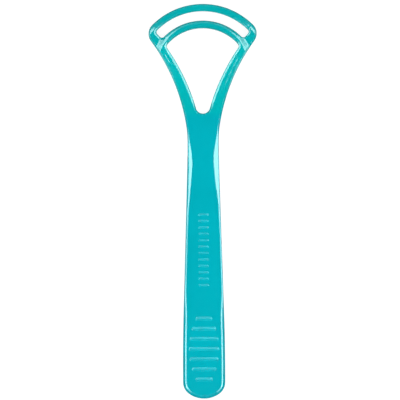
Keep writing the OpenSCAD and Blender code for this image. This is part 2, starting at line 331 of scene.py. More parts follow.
CROTCH_TOP_X = inner_edge_x(CROTCH_TOP_Y)
CROTCH_SLOPE = inner_slope(CROTCH_TOP_Y)
CROTCH_RADIUS = CROTCH_TOP_X * math.hypot(1, CROTCH_SLOPE)
CROTCH_CENTRE = np.array([0, CROTCH_TOP_Y + CROTCH_SLOPE * CROTCH_TOP_X])
CROTCH_Y = CROTCH_CENTRE[1] - CROTCH_RADIUS
# The border between neck and arms dips a little, to pass under the crotch's rounded back edge
NECK_END_DROP = 1.2 * BACK_RADIUS
NECK_END_Y = CROTCH_Y - NECK_END_DROP


def arc(centre, radius, start, end, step=HEAD_STEP):
    """Points on an arc, its angles counted clockwise from +Y."""
    count = max(2, math.ceil(abs(end - start) * radius / step))
    a = np.linspace(start, end, count + 1)
    return centre + radius * np.column_stack([np.sin(a), np.cos(a)])


def rise(x_at, start, end, step):
    """Points up the curve x_at(y)."""
    y = np.linspace(start, end, max(2, math.ceil((end - start) / step)) + 1)
    return np.column_stack([x_at(y), y])


def half_outline(*runs):
    """Joins labelled runs of points into the right half of an outline and its edges' labels."""
    points, labels = [runs[0][1][:1]], []
    for label, run in runs:
        points.append(run[1:])
        labels += [label] * (len(run) - 1)
    return np.vstack(points), labels


def outer_half():
    corner_turn = math.asin((GRIP_WIDTH / 2 - END_CORNER_RADIUS) / (END_RADIUS - END_CORNER_RADIUS))
    corner = np.array([0, END_RADIUS]) - towards(-corner_turn) * (END_RADIUS - END_CORNER_RADIUS)
    to_sweep = SWEEP_CENTRE - BOW_CENTRE
    from_bow = HEAD_RADIUS - SHOULDER_RADIUS
    reach = np.linalg.norm(to_sweep)
    turn = math.acos((from_bow ** 2 + reach ** 2 - (ARM_SWEEP_RADIUS + SHOULDER_RADIUS) ** 2)
                     / (2 * from_bow * reach))
    shoulder_start = heading(to_sweep) - turn
    shoulder = BOW_CENTRE + from_bow * towards(shoulder_start)
    shoulder_turn = heading(SWEEP_CENTRE - shoulder)
    sweep_end = heading(shoulder - SWEEP_CENTRE) % (2 * math.pi)
    sweep_start = heading(SWEEP_END - SWEEP_CENTRE) % (2 * math.pi)
    return half_outline(
        ("grip", arc(np.array([0, END_RADIUS]), END_RADIUS, math.pi, math.pi - corner_turn, NECK_STEP)),
        ("grip", arc(corner, END_CORNER_RADIUS, math.pi - corner_turn, math.pi / 2, NECK_STEP)),
        ("grip", rise(handle_x, corner[1], GRIP_LENGTH, GRIP_STEP)),
        ("neck", rise(outer_x, GRIP_LENGTH, NECK_END_Y, NECK_STEP)),
        ("right_arm", rise(outer_x, NECK_END_Y, ARM_OUTER_END_Y, ARM_STEP)),
        ("right_shoulder", arc(SWEEP_CENTRE, ARM_SWEEP_RADIUS, sweep_start, sweep_end)),
        ("right_shoulder", arc(shoulder, SHOULDER_RADIUS, shoulder_turn, shoulder_start)),
        ("right_shoulder", arc(BOW_CENTRE, HEAD_RADIUS, shoulder_start, BOW_END)),
        ("outer_bow", arc(BOW_CENTRE, HEAD_RADIUS, BOW_END, 0)))


def fork_half():
    arm_end = np.array([inner_edge_x(ARM_INNER_END_Y), ARM_INNER_END_Y])
    lean = math.atan(inner_slope(ARM_INNER_END_Y))
    along = towards(lean)
    into = np.array([-along[1], along[0]])
    start = arm_end + FORK_CORNER_RADIUS * into - BOW_CENTRE
    travel = -start @ along + math.sqrt(
        (start @ along) ** 2 - start @ start + (INNER_BOW_INSIDE - FORK_CORNER_RADIUS) ** 2)
    corner = BOW_CENTRE + start + travel * along
    corner_heading = heading(corner - BOW_CENTRE)
    crotch_turn = math.pi - math.atan2(CROTCH_TOP_X, CROTCH_CENTRE[1] - CROTCH_TOP_Y)
    return half_outline(
        ("right_arm", arc(CROTCH_CENTRE, CROTCH_RADIUS, math.pi, crotch_turn)),
        ("right_arm", rise(inner_edge_x, CROTCH_TOP_Y, ARM_INNER_END_Y, ARM_STEP)),
        ("right_shoulder", np.array([arm_end, arm_end + travel * along])),
        ("right_shoulder", arc(corner, FORK_CORNER_RADIUS, lean + math.pi / 2, corner_heading)),
        ("right_shoulder", arc(BOW_CENTRE, INNER_BOW_INSIDE, corner_heading, BOW_END)),
        ("inner_bow", arc(BOW_CENTRE, INNER_BOW_INSIDE, BOW_END, 0)))


def slot_half():
    across = np.array([math.cos(BOW_END), -math.sin(BOW_END)])
    inset = BOW_CENTRE + (SLOT_END_RUN - SLOT_CORNER_RADIUS) * across
    lower = inset + (INNER_BOW_OUTSIDE + SLOT_CORNER_RADIUS) * towards(BOW_END)
    upper = inset + (OUTER_BOW_INSIDE - SLOT_CORNER_RADIUS) * towards(BOW_END)
    radius = SLOT_CORNER_RADIUS
    low_start = arc(lower, radius, BOW_END + math.pi, BOW_END + math.pi / 2)
    high_end = arc(upper, radius, BOW_END + math.pi / 2, BOW_END)
    inner_run = arc(BOW_CENTRE, INNER_BOW_OUTSIDE, 0, BOW_END)
    outer_run = arc(BOW_CENTRE, OUTER_BOW_INSIDE, BOW_END, 0)
    return half_outline(
        ("inner_bow", inner_run),
        ("right_shoulder", np.array([inner_run[-1], low_start[0]])),
        ("right_shoulder", low_start),
        ("right_shoulder", np.linspace(low_start[-1], high_end[0], SLOT_END_POINTS)),
        ("right_shoulder", high_end),
        ("right_shoulder", np.array([high_end[-1], outer_run[0]])),
        ("outer_bow", outer_run))


# Edges along each outline: width of the rim, width of the flank and its tilt

def outer_edge(p):
    x, y = p.T
    from_waist = y - WAIST_Y
    at_end = 1 - smooth(y, *END_EDGE_FADE)
    flank = mix(MIDDLE_FLANK, END_FLANK, at_end)
    # The waist's flanks are widest at a blunt point a little below the waist
    kink = np.maximum(0, 1 - abs(from_waist - WAIST_KINK_PLACE) / WAIST_KINK_REACH)
    waist = by_side(x, WAIST_FLANK_SIDES) + WAIST_KINK * kink
    flank = mix(flank, waist, smooth(from_waist, *WAIST_FLANK_RISE))
    flank_end = by_side(x, WAIST_FLANK_END_SIDES)
    flank = mix(flank, SHARP_FLANK, smooth(from_waist, WAIST_KINK_PLACE, flank_end))
    tilt = mix(FLANK_TILT, MIDDLE_FLANK_TILT, stretch(y, END_EDGE_FADE, MIDDLE_TILT_FADE))
    grown = smooth(y, *WAIST_RIM_RISE) * (1 - smooth(from_waist, *WAIST_RIM_FADE))
    rim = np.where(x > 0, THIN_RIM_WIDTH, RIM_WIDTH + WAIST_RIM_GROWTH * grown)
    rim = mix(rim, BARE_RIM_WIDTH, smooth(from_waist, BARE_RIM_START, flank_end))
    return mix(rim, END_RIM_WIDTH, at_end), flank, tilt


def fork_edge(p):
    past_bows = abs(heading(p - BOW_CENTRE)) - BOW_END
    past_crotch = smooth(p[:, 1], CROTCH_Y + CROTCH_RADIUS / 2, CROTCH_Y + 2 * CROTCH_RADIUS)
    arm_flank = mix(SHARP_FLANK, ARM_FLANK, past_crotch)
    flank = mix(SHARP_FLANK, arm_flank, smooth(past_bows, *FORK_FLANK_RISE))
    rim = mix(BARE_RIM_WIDTH, THIN_RIM_WIDTH, flank / ARM_FLANK)
    return rim, flank, np.full(len(p), FLANK_TILT)


def slot_edge(p):
    past_bows = abs(heading(p - BOW_CENTRE)) - BOW_END
    from_inner = np.linalg.norm(p - BOW_CENTRE, axis=1) - INNER_BOW_OUTSIDE
    at_end = smooth(past_bows, *SLOT_END_RISE)
    on_inner = from_inner < SLOT_WIDTH / 2
    # The slot's right end has a narrower flank, which is sharp next to the inner bow
    right_end = mix(SHARP_FLANK, RIGHT_SLOT_END_FLANK, smooth(from_inner, *RIGHT_SLOT_END_RISE))
    end_flank = np.where(p[:, 0] > 0, right_end, SLOT_END_FLANK)
    flank = mix(np.where(on_inner, BOW_FLANK, SHARP_FLANK), end_flank, at_end)
    inner_rim = mix(RIM_WIDTH, THINNEST_RIM_WIDTH, smooth(past_bows, *THINNEST_RIM_RISE))
    rim = mix(np.where(on_inner, inner_rim, BARE_RIM_WIDTH), RIM_WIDTH, at_end)
    return rim, flank, np.full(len(p), FLANK_TILT)


class Outline:
    """A closed outline of the plan, mirrored from its right half, with its outward normals."""

    def __init__(self, half, edge, hole):
        points, labels = half
        mirrored = points[-2:0:-1] * [-1, 1]
        self.points = np.vstack([points, mirrored])
        self.labels = labels + [label.replace("right", "left") for label in reversed(labels)]
        self.hole = hole
        before = self.points - np.roll(self.points, 1, axis=0)
        after = np.roll(self.points, -1, axis=0) - self.points
        tangent = unit(before / (before ** 2).sum(1, keepdims=True)
                       + after / (after ** 2).sum(1, keepdims=True))
        side = -1 if hole else 1
        self.out = side * np.column_stack([tangent[:, 1], -tangent[:, 0]])
        self.edge = edge(self.points)


OUTLINES = [Outline(outer_half(), outer_edge, False),
            Outline(fork_half(), fork_edge, True),
            Outline(slot_half(), slot_edge, True)]


# Heights over the plan

def face_level(x, y):
    level = mix(HANDLE_LEVEL, HIGH_LEVEL, smooth(y, WAIST_Y + ARM_LIFT_START, WAIST_Y + ARM_LIFT_END))
    from_ramp = np.hypot(x, y - BOW_CENTRE_Y - RAMP_OFFSET) - RAMP_RADIUS
    down = ramp(from_ramp, RAMP_RUN, RAMP_FILLET) * (HIGH_LEVEL - LOW_LEVEL)
    level = level - np.where(y > BOW_CENTRE_Y + RAMP_OFFSET, down, 0)
    return level - arm_fall(x, y) + bow_rise(x, y)


def arm_fall(x, y):
    """How far an arm's face falls off towards its edges, and past a shallow ledge near its middle
    that is lower on the inner side and shorter on the left arm."""
    y = np.maximum(y, CROTCH_Y)
    from_end = y - ARM_OUTER_END_Y
    inner, outer = inner_edge_x(y), sweep_x(y)
    share = np.clip((2 * abs(x) - inner - outer) / (outer - inner), -1, 1)
    crowned = smooth(y - CROTCH_TOP_Y, 0, ARM_CROWN_RISE) * (1 - smooth(from_end, *ARM_CROWN_FADE))
    start = by_side(x, ARM_LEDGE_START_SIDES)
    end = by_side(x, ARM_LEDGE_END_SIDES)
    growth = (start, start + by_side(x, ARM_LEDGE_RISE_SIDES))
    stepped = stretch(from_end, growth, (end, end + ARM_LEDGE_FADE))
    inner_side = 1 - smooth(share - ARM_LEDGE_MIDDLE, -ARM_LEDGE_SHARE / 2, ARM_LEDGE_SHARE / 2)
    return ARM_CROWN * share ** 2 * crowned + ARM_LEDGE_FALL * inner_side * stepped


def bow_rise(x, y):
    """How far the bows' faces rise over their level: the inner one is crowned, and the ends of
    the outer one are a little raised, up to a crease along their middle."""
    radius = np.hypot(x, y - BOW_CENTRE_Y)
    turn = np.degrees(abs(np.arctan2(x, y - BOW_CENTRE_Y)))
    share = (radius - INNER_BOW_OUTSIDE + INNER_BOW_WIDTH / 2) / (INNER_BOW_WIDTH / 2)
    on_inner = (radius > INNER_BOW_INSIDE) & (radius < INNER_BOW_OUTSIDE)
    crowned = 1 - smooth(turn, BOW_HALF_ANGLE - BOW_CROWN_FADE, BOW_HALF_ANGLE)
    crown = -BOW_CROWN * np.where(on_inner, share ** 2, 0) * crowned
    fall = ramp(radius - CREASE_RADIUS, CREASE_WIDTH, CREASE_FILLET)
    raised = smooth(radius, INNER_BOW_OUTSIDE, CREASE_RADIUS) - fall
    start = by_side(x, CREASE_START_SIDES)
    return crown + CREASE_HEIGHT * raised * stretch(turn, (start, start + CREASE_RISE), CREASE_FADE)


def back_level(x, y):
    return UNDERSIDE * smooth(y, WAIST_Y, WAIST_Y + BACK_LIFT_END)


def slopes(level, p):
    """Gradient of a level at the plan points p."""
    x, y = p.T
    h = SLOPE_STEP
    across = level(x + h, y) - level(x - h, y)
    along = level(x, y + h) - level(x, y - h)
    return np.column_stack([across, along]) / (2 * h)


# Cross-sections of the edges along an outline: rows of insets, drops and tilts, outermost first

def face_rings(outline):
    rim, flank, flank_tilt = outline.edge
    rim_tilt = math.radians(RIM_TILT)
    slant = np.radians(flank_tilt)
    blend = np.minimum(RIM_BLEND_SHARE * flank, RIM_BLEND_LIMIT)
    rounding = FLANK_ROUNDING_SHARE * flank
    insets, tilts = [], []
    for tilt in np.linspace(math.pi / 2, rim_tilt, CORNER_RINGS):
        insets.append(np.full(len(rim), CORNER_RADIUS * (1 - math.sin(tilt))))
        tilts.append(np.full(len(rim), tilt))
    insets += [rim - blend, rim + blend]
    tilts += [np.full(len(rim), rim_tilt), slant]
    for share in np.linspace(0, 1, FLANK_RINGS):
        insets.append(rim + flank - rounding * (1 - share))
        tilts.append(slant * (1 - share))
    drops = [np.zeros(len(rim))]
    for k in range(len(insets) - 1, 0, -1):
        if k < CORNER_RINGS:
            step = CORNER_RADIUS * (np.cos(tilts[k]) - np.cos(tilts[k - 1]))
        else:
            step = (insets[k] - insets[k - 1]) * np.tan((tilts[k] + tilts[k - 1]) / 2)
        drops.append(drops[-1] + step)
    return insets, drops[::-1], tilts


def back_rings(outline):
    tilts = np.radians(np.linspace(90, 0, BACK_RINGS))[:, None] * np.ones(len(outline.points))
    return BACK_RADIUS * (1 - np.sin(tilts)), BACK_RADIUS * (1 - np.cos(tilts)), tilts


def inside(points, polygon):
    """Which points lie in a polygon, by counting the edges that a ray to +X crosses."""
    a, b = polygon, np.roll(polygon, -1, axis=0)
    x, y = points[:, :1], points[:, 1:]
    spans = (a[:, 1] > y) != (b[:, 1] > y)
    with np.errstate(divide="ignore", invalid="ignore"):
        cross = a[:, 0] + (y - a[:, 1]) * (b[:, 0] - a[:, 0]) / (b[:, 1] - a[:, 1])
    return (spans & (x < cross)).sum(1) % 2 == 1


def clearance(points, a, b):
    """Distance of each point from the nearest of the segments from a to b."""
    best = np.full(len(points), np.inf)
    for start, end in zip(a, b):
        along = end - start
        t = np.clip(((points - start) @ along) / (along @ along), 0, 1)
        best = np.minimum(best, np.linalg.norm(points - start - t[:, None] * along, axis=1))
    return best


def seams(outlines):
    """Pairs of outline vertices, as (outline, index), that a border between two nodes joins."""
    found, crotches = {}, []
    for k, outline in enumerate(outlines):
        for i, label in enumerate(outline.labels):
            pair = frozenset((label, outline.labels[i - 1]))
            if pair == {"left_arm", "right_arm"}:
                crotches.append((k, i))
            elif len(pair) == 2:
                found.setdefault(pair, []).append((k, i))
    return [tuple(ends) if len(ends) == 2 else (ends[0], crotches[0]) for ends in found.values()]


class Surface:
    """The whole moulding: points, normals, and faces with the name of the node that each is in."""

    def __init__(self):
        self.points, self.normals, self.faces, self.labels = [], [], [], []

    def add_points(self, plan, z, normals):
        first = len(self.points)
        self.points.extend(np.column_stack([plan, z]))
        self.normals.extend(unit(normals))
        return np.arange(first, len(self.points))

    def add_face(self, corners, label, flip):
        self.faces.append(tuple(int(c) for c in (corners[::-1] if flip else corners)))
        self.labels.append(label)

    def add_band(self, outline, low, high, flip):
        """Quads between two rings of vertices along an outline."""
        count = len(low)
        for i, label in enumerate(outline.labels):
            j = (i + 1) % count
            self.add_face((low[i], low[j], high[j], high[i]), label, flip != outline.hole)

    def add_side(self, level, edge_rings, side, bands):
        """The face (side 1) or the back (side -1). Returns each outline's outermost ring."""
        outermost, innermost = [], []
        for outline in OUTLINES:
            rings = []
            for inset, drop, tilt in zip(*edge_rings(outline)):
                plan = outline.points - outline.out * inset[:, None]
                slope = slopes(level, plan)
                flat = np.column_stack([-side * slope, np.full(len(plan), side)])
                out = np.column_stack([outline.out, np.zeros(len(plan))])
                normals = np.cos(tilt)[:, None] * flat + np.sin(tilt)[:, None] * out
                rings.append(self.add_points(plan, level(*plan.T) - side * drop, normals))
            for low, high in zip(rings, rings[1:]):
                self.add_band(outline, low, high, side < 0)
            outermost.append(rings[0])
            innermost.append(rings[-1])
        self.fill(level, side, innermost, bands)
        return outermost

    def fill(self, level, side, rings, bands):
        """Triangles between the innermost rings, on points spread over each band of y."""
        flat = [np.array([self.points[i][:2] for i in ring]) for ring in rings]
        known = np.vstack(flat)
        starts = np.cumsum([0] + [len(ring) for ring in rings])
        borders = [(starts[a] + i, starts[b] + j) for (a, i), (b, j) in seams(OUTLINES)]
        edges = [(s + i, s + (i + 1) % len(ring))
                 for s, ring in zip(starts, rings) for i in range(len(ring))]
        walls = np.array(edges + borders)
        extra = np.vstack([spread_points(flat, known[walls], *band) for band in bands])
        flat_normals = np.column_stack([-side * slopes(level, extra), np.full(len(extra), side)])
        added = self.add_points(extra, level(*extra.T), flat_normals)
        index = np.concatenate(rings + [added])
        plan = np.vstack([known, extra])
        triangles = triangulate(plan, walls, flat)
        corners = plan[triangles]
        areas = np.cross(corners[:, 1] - corners[:, 0], corners[:, 2] - corners[:, 0])
        ring_labels = [label for outline in OUTLINES for label in outline.labels]
        edge_labels = {frozenset(edge): label for edge, label in zip(edges, ring_labels)}
        barrier = {frozenset(map(int, border)) for border in borders}
        labels = region_labels(triangles, edge_labels, barrier)
        for triangle, label, area in zip(triangles, labels, areas):
            self.add_face(index[triangle], label, (area > 0) != (side > 0))


def within(points, flat):
    """Which points lie in the first outline and in none of the others, its holes."""
    outer, *holes = flat
    found = inside(points, outer)
    for hole in holes:
        found &= ~inside(points, hole)
    return found


def lattice(low, high, step):
    """Staggered points over the plan, between two values of y."""
    rows = np.arange(low, high, step * math.sqrt(3) / 2)
    columns = np.arange(-HEAD_RADIUS, HEAD_RADIUS, step)
    return np.array([(x + (k % 2) * step / 2, y) for k, y in enumerate(rows) for x in columns])


def spread_points(flat, walls, low, high, step):
    """Points of a lattice that lie within the outlines and clear of the walls, given by their ends."""
    grid = lattice(low, high, step)
    grid = grid[within(grid, flat)]
    near = walls[(walls[:, :, 1].max(1) > low - step) & (walls[:, :, 1].min(1) < high + step)]
    return grid[clearance(grid, near[:, 0], near[:, 1]) > step * CLEAR_SHARE]


def triangulate(plan, walls, flat):
    """Triangles over the plan that have the walls as edges and leave the holes open."""
    points = [Vector(p) for p in plan]
    edges = [tuple(map(int, wall)) for wall in walls]
    result = delaunay_2d_cdt(points, edges, [], 0, MERGE_DISTANCE, True)
    origin = [ids[0] for ids in result[3]]
    triangles = np.array([[origin[v] for v in face] for face in result[2]])
    return triangles[within(plan[triangles].mean(1), flat)]


def region_labels(triangles, edge_labels, barrier):
    """Label of each triangle, spread from the outlines' edges and stopped at the borders."""
    at_edge = {}
    for t, triangle in enumerate(triangles):
        for k in range(3):
            at_edge.setdefault(frozenset((int(triangle[k]), int(triangle[k - 1]))), []).append(t)
    labels = [None] * len(triangles)
    queue = []
    for edge, label in edge_labels.items():
        for t in at_edge.get(edge, []):
            labels[t] = label
            queue.append(t)
    while queue:
        t = queue.pop()
        for k in range(3):
            edge = frozenset((int(triangles[t][k]), int(triangles[t][k - 1])))
            if edge in barrier:
                continue
            for other in at_edge[edge]:
                if labels[other] is None:
                    labels[other] = labels[t]
                    queue.append(other)
    return labels


def moulding():
    surface = Surface()
    top = surface.add_side(face_level, face_rings, 1, [
        (CROTCH_TOP_Y, TOTAL_LENGTH, HEAD_STEP)])
    bottom = surface.add_side(back_level, back_rings, -1, [
        (WAIST_Y, WAIST_Y + BACK_LIFT_END, NECK_STEP)])
    for outline, low, high in zip(OUTLINES, bottom, top):
        surface.add_band(outline, low, high, False)
    return surface


# Meshes

def add_piece(name, points, normals, faces, node, material, fanned=False):
    """Makes an object of points in millimetres. Its open borders are closed, flat or with a fan
    to the middle, and the given normals carry the shading smoothly over the borders."""
    mesh = bpy.data.meshes.new(name)
    shift = np.array([0, -TOTAL_LENGTH / 2, 0])
    mesh.from_pydata([tuple(p) for p in (np.array(points) + shift) * MM], [], faces)
    bm = bmesh.new()
    bm.from_mesh(mesh)
    bm.verts.ensure_lookup_table()
    open_edges = [e for e in bm.edges if e.is_boundary]
    caps = bmesh.ops.holes_fill(bm, edges=open_edges, sides=0)["faces"]
    if fanned:
        bmesh.ops.poke(bm, faces=caps)
    bm.to_mesh(mesh)
    bm.free()
    smooth_faces = len(faces)
    flags = np.arange(len(mesh.polygons)) < smooth_faces
    mesh.polygons.foreach_set("use_smooth", flags)
    loop_normals = []
    for polygon in mesh.polygons:
        for v in polygon.vertices:
            loop_normals.append(normals[v] if polygon.index < smooth_faces else tuple(polygon.normal))
    mesh.normals_split_custom_set([tuple(n) for n in loop_normals])
    mesh.materials.append(material)
    piece = bpy.data.objects.new(name, mesh)
    bpy.context.scene.collection.objects.link(piece)
    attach(piece, "root")
    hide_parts(node)
    return piece


def cut_out(surface, node, material):
    """The piece of the moulding that stands for one node."""
    faces = [face for face, label in zip(surface.faces, surface.labels) if label == node]
    used = sorted({v for face in faces for v in face})
    place = {v: i for i, v in enumerate(used)}
    add_piece(node + "_skin", [surface.points[v] for v in used], [surface.normals[v] for v in used],
              [tuple(place[v] for v in face) for face in faces], node, material, fanned=True)


def lip_height(turn):
    """How much of a lip's height it has at a heading: it runs out towards its ends."""
    return mix(1, LIP_END_HEIGHT_SHARE, smooth(abs(turn), BOW_END - LIP_RUN_OUT, BOW_END))


def lip_half_profile():
    """Right half of a lip's cross-section, from the middle of its edge up to its root:
    across, height and tilt from straight down."""
    lean = math.atan2(LIP_ROOT_WIDTH / 2 - LIP_EDGE_WIDTH / 2, UNDERSIDE)
    flank = math.pi / 2 - lean
    turns = np.linspace(0, flank, LIP_ROUND_STEPS)
    x0 = LIP_EDGE_WIDTH / 2 - LIP_EDGE_RADIUS * (1 - math.sin(lean))
    low = [(x0 + LIP_EDGE_RADIUS * math.sin(t), LIP_EDGE_RADIUS * (1 - math.cos(t)), t) for t in turns]
    top_z = UNDERSIDE - LIP_ROOT_FILLET
    rise_x = low[-1][0] + (top_z - low[-1][1]) * math.tan(lean)
    high = []
    for t in turns[::-1]:
        high.append((rise_x + LIP_ROOT_FILLET * (math.sin(flank) - math.sin(t)),
                     top_z + LIP_ROOT_FILLET * (math.cos(t) - math.cos(flank)), t))
    scale = (UNDERSIDE - top_z) / (high[-1][1] - top_z)
    high = [(x, top_z + (z - top_z) * scale, t) for x, z, t in high]
    return [(0, 0, 0)] + low + high


def lip(node, middle, material):
    """A tapered scraping edge under a bow, along the middle of its width."""
    half = lip_half_profile()
    profile = [(-x, z, -t) for x, z, t in reversed(half[1:])] + half
    count = len(profile)
    points, normals, faces = [], [], []
    step = 2 * BOW_END / LIP_STEPS
    for turn in np.linspace(-BOW_END, BOW_END, LIP_STEPS + 1):
        out, along = towards(turn), towards(turn + math.pi / 2)
        height = lip_height(turn)
        growth = (lip_height(turn + step) - lip_height(turn - step)) / (2 * step * middle)
        for x, z, t in profile:
            points.append((*(BOW_CENTRE + (middle + x) * out), mix(UNDERSIDE, z, height)))
            slope = (z - UNDERSIDE) * growth * math.cos(t)
            normal = unit(np.array([*(height * math.sin(t) * out + slope * along), -math.cos(t)]))
            normals.append(tuple(normal))
    for i in range(LIP_STEPS):
        for k in range(count - 1):
            a = i * count + k
            faces.append((a, a + 1, a + count + 1, a + count))
    add_piece(node + "_edge", points, normals, faces, node, material)


def bars(node, lengths, centres, width, height, material):
    """Low round-ended bars across the grip's face, which run out into it smoothly."""
    points, normals, faces = [], [], []
    for length, y in zip(lengths, centres):
        first = len(points)
        reach = (length - width) / 2
        for k in range(BAR_RINGS + 1):
            turn = math.pi * (1 - k / BAR_RINGS)
            r = width / 2 * (1 - k / BAR_RINGS)
            z = HANDLE_LEVEL + height * (1 + math.cos(turn)) / 2
            tilt = math.atan(math.pi * height / width * math.sin(turn))
            lean = math.sin(tilt)
            for i in range(BAR_SIDES):
                a = 2 * math.pi * (i + 0.5) / BAR_SIDES
                side = math.copysign(reach, math.cos(a))
                points.append((side + r * math.cos(a), y + r * math.sin(a), z))
                normals.append((lean * math.cos(a), lean * math.sin(a), math.cos(tilt)))
        for k in range(BAR_RINGS - 1):
            for i in range(BAR_SIDES):
                a = first + k * BAR_SIDES + i
                b = first + k * BAR_SIDES + (i + 1) % BAR_SIDES
                faces.append((a, b, b + BAR_SIDES, a + BAR_SIDES))
        crest = first + (BAR_RINGS - 1) * BAR_SIDES
        faces.append(tuple(crest + i for i in range(BAR_SIDES)))
    add_piece(node + "_relief", points, normals, faces, node, material)


def add_thumb_ribs(material):
    """Ribs that are shorter towards the first and the last one."""
    steps = [i - (RIB_COUNT - 1) / 2 for i in range(RIB_COUNT)]
    lengths = [RIB_LENGTH - RIB_SHORTENING * i * i for i in steps]
    centres = [RIB_MIDDLE + i * RIB_PITCH for i in steps]
    bars("thumb_ribs", lengths, centres, RIB_WIDTH, RIB_HEIGHT, material)


def add_grip_ticks(material):
    centres = [TICK_START + TICK_PITCH * i for i in range(TICK_COUNT)]
    bars("grip_ticks", [TICK_LENGTH] * TICK_COUNT, centres, TICK_WIDTH, TICK_HEIGHT, material)


# Materials

# The plastic's colour along the scraper: bluest along the handle, lighter and greener along the arms,
# and a little darker and greener in the head
HANDLE_TEAL = (0.0, 0.461, 0.546)
ARM_TEAL = (0.0, 0.511, 0.526)
HEAD_TEAL = (0.0, 0.449, 0.474)
HANDLE_TEAL_DROP = 1.0
HEAD_TEAL_RISE = 10.0
TEALS = [(NECK_END_Y - HANDLE_TEAL_DROP, HANDLE_TEAL), (CROTCH_TOP_Y, ARM_TEAL),
         (ARM_OUTER_END_Y, ARM_TEAL), (ARM_OUTER_END_Y + HEAD_TEAL_RISE, HEAD_TEAL)]

# The plastic's gloss and fine structure. A noise has a scale and a detail, and a range is the part
# of its values that is used
GLOSS_INDEX = 1.6
GLOSS_LEVEL = 1.0
GLOSS_TINT = (0.7, 1.0, 1.0, 1)
CLOUD_NOISE = (60, 3)
CLOUD_RANGE = (0.35, 0.65)
CLOUD_SHADE = 0.935
ROUGHNESS_NOISE = (400, 4)
ROUGHNESS_RANGE = (0.3, 0.7)
ROUGHNESS_SPREAD = 0.15
WAVE_NOISE = (180, 1)
WAVE_HEIGHT = 0.02
GRAIN_NOISE = (3500, 2)
BUMP_STRENGTH = 0.5


def feed(tree, node, inputs):
    """Gives each input of a node a value, or links it to the output of another node."""
    for place, value in inputs.items():
        if isinstance(value, bpy.types.NodeSocket):
            tree.links.new(value, node.inputs[place])
        else:
            node.inputs[place].default_value = value


def add_node(tree, kind, inputs, **settings):
    node = tree.nodes.new(kind)
    for setting, value in settings.items():
        setattr(node, setting, value)
    feed(tree, node, inputs)
    return node


def add_colour_ramp(tree, value, stops):
    """A colour that follows a value through stops, each with a place and a colour."""
    node = add_node(tree, "ShaderNodeValToRGB", {"Fac": value})
    elements = node.color_ramp.elements
    while len(elements) < len(stops):
        elements.new(0.5)
    for element, (place, colour) in zip(elements, stops):
        element.position = place
        element.color = (*colour, 1)
    return node.outputs["Color"]


def new_material(name):
    material = bpy.data.materials.new(name)
    material.use_nodes = True
    return material


def teal_plastic(name, roughness, grain, highlight_lightness=1.0):
    """Glossy injection-moulded plastic: a faint cloudiness, a slight wave and a fine grain. A highlight
    lightness over 1 lightens its colour, as a painted highlight.
    """
    material = new_material(name)
    tree = material.node_tree
    place = add_node(tree, "ShaderNodeTexCoord", {}).outputs["Object"]

    def noise(scale, detail):
        inputs = {"Vector": place, "Scale": scale, "Detail": detail}
        return add_node(tree, "ShaderNodeTexNoise", inputs).outputs["Fac"]

    def spread(value, start, end, low, high):
        inputs = {"Value": value, "From Min": start, "From Max": end, "To Min": low, "To Max": high}
        return add_node(tree, "ShaderNodeMapRange", inputs).outputs["Result"]

    def bump(height, distance, inputs):
        inputs = {"Height": height, "Distance": distance, "Strength": BUMP_STRENGTH, **inputs}
        return add_node(tree, "ShaderNodeBump", inputs).outputs["Normal"]

    y = add_node(tree, "ShaderNodeSeparateXYZ", {"Vector": place}).outputs["Y"]
    half = TOTAL_LENGTH / 2 * MM
    stops = [(height / TOTAL_LENGTH, colour) for height, colour in TEALS]
    teal = add_colour_ramp(tree, spread(y, -half, half, 0, 1), stops)
    # A highlight lightness over 1 lightens the whole colour: a painted highlight
    cloud = spread(noise(*CLOUD_NOISE), *CLOUD_RANGE, CLOUD_SHADE * highlight_lightness, highlight_lightness)
    clouded = add_node(tree, "ShaderNodeMix", {"Factor": 1, "A": teal, "B": cloud},
                       data_type="RGBA", blend_type="MULTIPLY")
    rough = spread(noise(*ROUGHNESS_NOISE), *ROUGHNESS_RANGE,
                   roughness * (1 - ROUGHNESS_SPREAD), roughness * (1 + ROUGHNESS_SPREAD))
    wave = bump(noise(*WAVE_NOISE), WAVE_HEIGHT * MM, {})
    fine = bump(noise(*GRAIN_NOISE), grain * MM, {"Normal": wave})
    feed(tree, tree.nodes["Principled BSDF"], {
        "Base Color": clouded.outputs["Result"], "Roughness": rough, "Normal": fine,
        "IOR": GLOSS_INDEX, "Specular IOR Level": GLOSS_LEVEL, "Specular Tint": GLOSS_TINT})
    return material


# The floor: the grey that throws light back, the grey that takes the shadow, and the glow
FLOOR_GREY = (0.4, 0.4, 0.4, 1)
FLOOR_SHADE = (0.2, 0.2, 0.2, 1)
FLOOR_GLOW = 0.9
FLOOR_REACH = 10.0
FLOOR_GAP = 0.05


def floor_material():
    """White paper: the camera and reflections see it white, with the object's faint shadow."""
    material = new_material("white_paper")
    tree = material.node_tree
    tree.nodes.remove(tree.nodes["Principled BSDF"])
    rays = add_node(tree, "ShaderNodeLightPath", {}).outputs
    seen = add_node(tree, "ShaderNodeMath", {0: rays["Is Camera Ray"], 1: rays["Is Glossy Ray"]},
                    operation="MAXIMUM").outputs["Value"]
    clear = add_node(tree, "ShaderNodeMath", {0: seen, 1: rays["Is Transmission Ray"]},
                     operation="MAXIMUM").outputs["Value"]
    paper = add_node(tree, "ShaderNodeBsdfDiffuse", {"Color": FLOOR_GREY}).outputs["BSDF"]
    shade = add_node(tree, "ShaderNodeBsdfDiffuse", {"Color": FLOOR_SHADE}).outputs["BSDF"]
    glow = add_node(tree, "ShaderNodeEmission", {"Strength": FLOOR_GLOW}).outputs["Emission"]
    white = add_node(tree, "ShaderNodeAddShader", {0: shade, 1: glow}).outputs["Shader"]
    pick = add_node(tree, "ShaderNodeMixShader", {"Fac": clear, 1: paper, 2: white}).outputs["Shader"]
    feed(tree, tree.nodes["Material Output"], {"Surface": pick})
    return material


